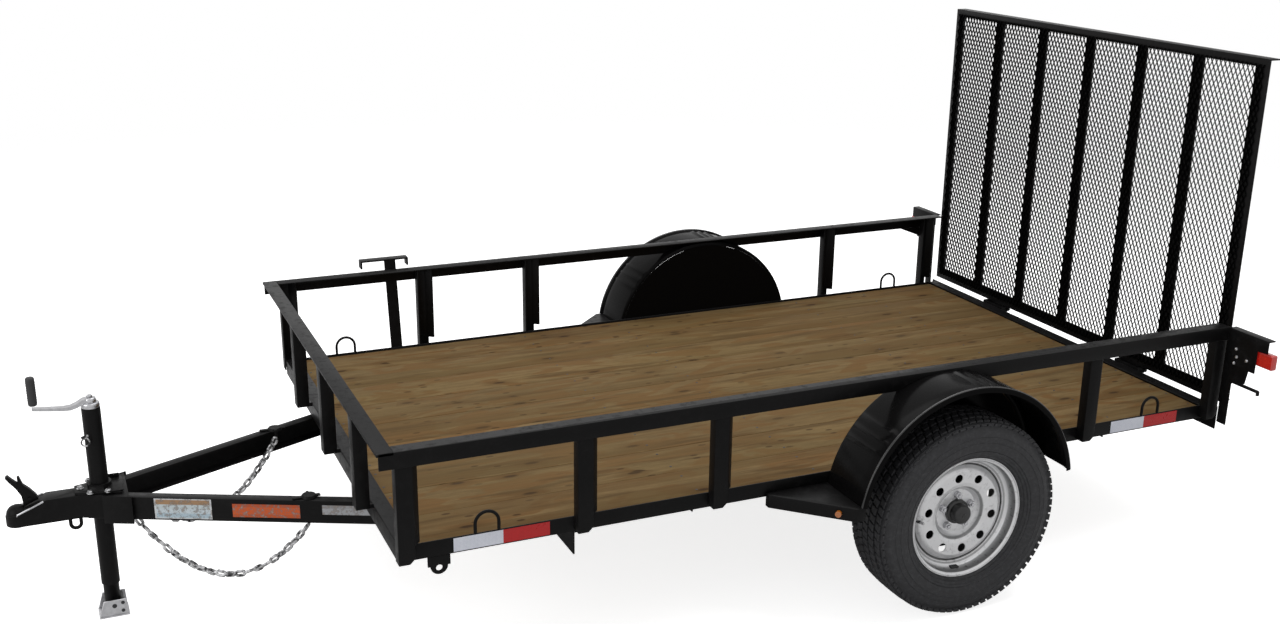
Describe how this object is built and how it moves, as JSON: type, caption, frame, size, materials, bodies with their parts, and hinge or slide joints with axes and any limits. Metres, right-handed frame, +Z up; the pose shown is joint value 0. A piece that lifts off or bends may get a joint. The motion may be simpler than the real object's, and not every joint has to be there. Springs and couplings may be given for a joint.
{
  "type": "utility trailer",
  "caption": "Single-axle open utility trailer with a plank deck, low angle-iron rail sides, round fenders, a tongue with swivel jack, and a hinged expanded-mesh ramp gate at the rear.",
  "frame": {"origin": "on the ground under the middle of the trailer's bounding box", "axes": "+X from the coupler to the ramp gate, +Y to the kerb side, +Z up"},
  "size_m": [4.114, 2.262, 1.742],
  "materials": {
    "frame_black": "semi-gloss",
    "deck_wood": "matte",
    "tire": "matte",
    "wheel_silver": "satin",
    "hub_black": "semi-gloss",
    "zinc": "satin",
    "chrome": "gloss",
    "grip_black": "matte",
    "lamp_red": "gloss",
    "lamp_amber": "gloss"
  },
  "bodies": {
    "frame": {"axle_beam": "frame_black", "chain_hooks": "frame_black", "chain_tab": "frame_black", "coupler": "frame_black", "coupler_latch": "frame_black", "crossmember_tongue": "frame_black", "crossmembers": "frame_black", "deck_boards": "deck_wood", "fender_brace_left": "frame_black", "fender_brace_right": "frame_black", "fender_left": "frame_black", "fender_right": "frame_black", "gusset": "frame_black", "header_front": "frame_black", "header_rear": "frame_black", "hinge_brackets": "frame_black", "jack_crank": "chrome", "jack_foot": "zinc", "jack_grip": "grip_black", "jack_plate": "frame_black", "jack_tube": "frame_black", "latch_rod": "frame_black", "leaf_spring_left": "frame_black", "leaf_spring_right": "frame_black", "light_bracket_left": "frame_black", "light_bracket_right": "frame_black", "marker_lamps": "lamp_amber", "posts_front": "frame_black", "posts_left": "frame_black", "posts_right": "frame_black", "safety_chain_left": "zinc", "safety_chain_right": "zinc", "side_rail_left": "frame_black", "side_rail_right": "frame_black", "spare_carrier": "frame_black", "spring_hangers": "frame_black", "spring_plates": "zinc", "tail_lamp_left": "lamp_red", "tail_lamp_right": "lamp_red", "tie_downs": "frame_black", "tongue_arm_left": "frame_black", "tongue_arm_right": "frame_black", "top_rail_front": "frame_black", "top_rail_left": "frame_black", "top_rail_right": "frame_black"},
    "wheel_left": {"tire_left": "tire", "rim_left": "wheel_silver", "hub_left": "hub_black"},
    "wheel_right": {"tire_right": "tire", "rim_right": "wheel_silver", "hub_right": "hub_black"},
    "gate": {"gate_frame": "frame_black", "gate_knuckles": "frame_black", "gate_mesh": "frame_black"}
  },
  "joints": [
    {"name": "wheel_left_spin", "type": "hinge", "parent": "frame", "child": "wheel_left", "pos_m": [0.791, -0.985, 0.34], "axis": [0, 1, 0], "continuous": true},
    {"name": "wheel_right_spin", "type": "hinge", "parent": "frame", "child": "wheel_right", "pos_m": [0.791, 0.985, 0.34], "axis": [0, 1, 0], "continuous": true},
    {"name": "gate_hinge", "type": "hinge", "parent": "frame", "child": "gate", "pos_m": [2.032, 0, 0.49], "axis": [0, 1, 0], "range_deg": [0, 111]}
  ]
}
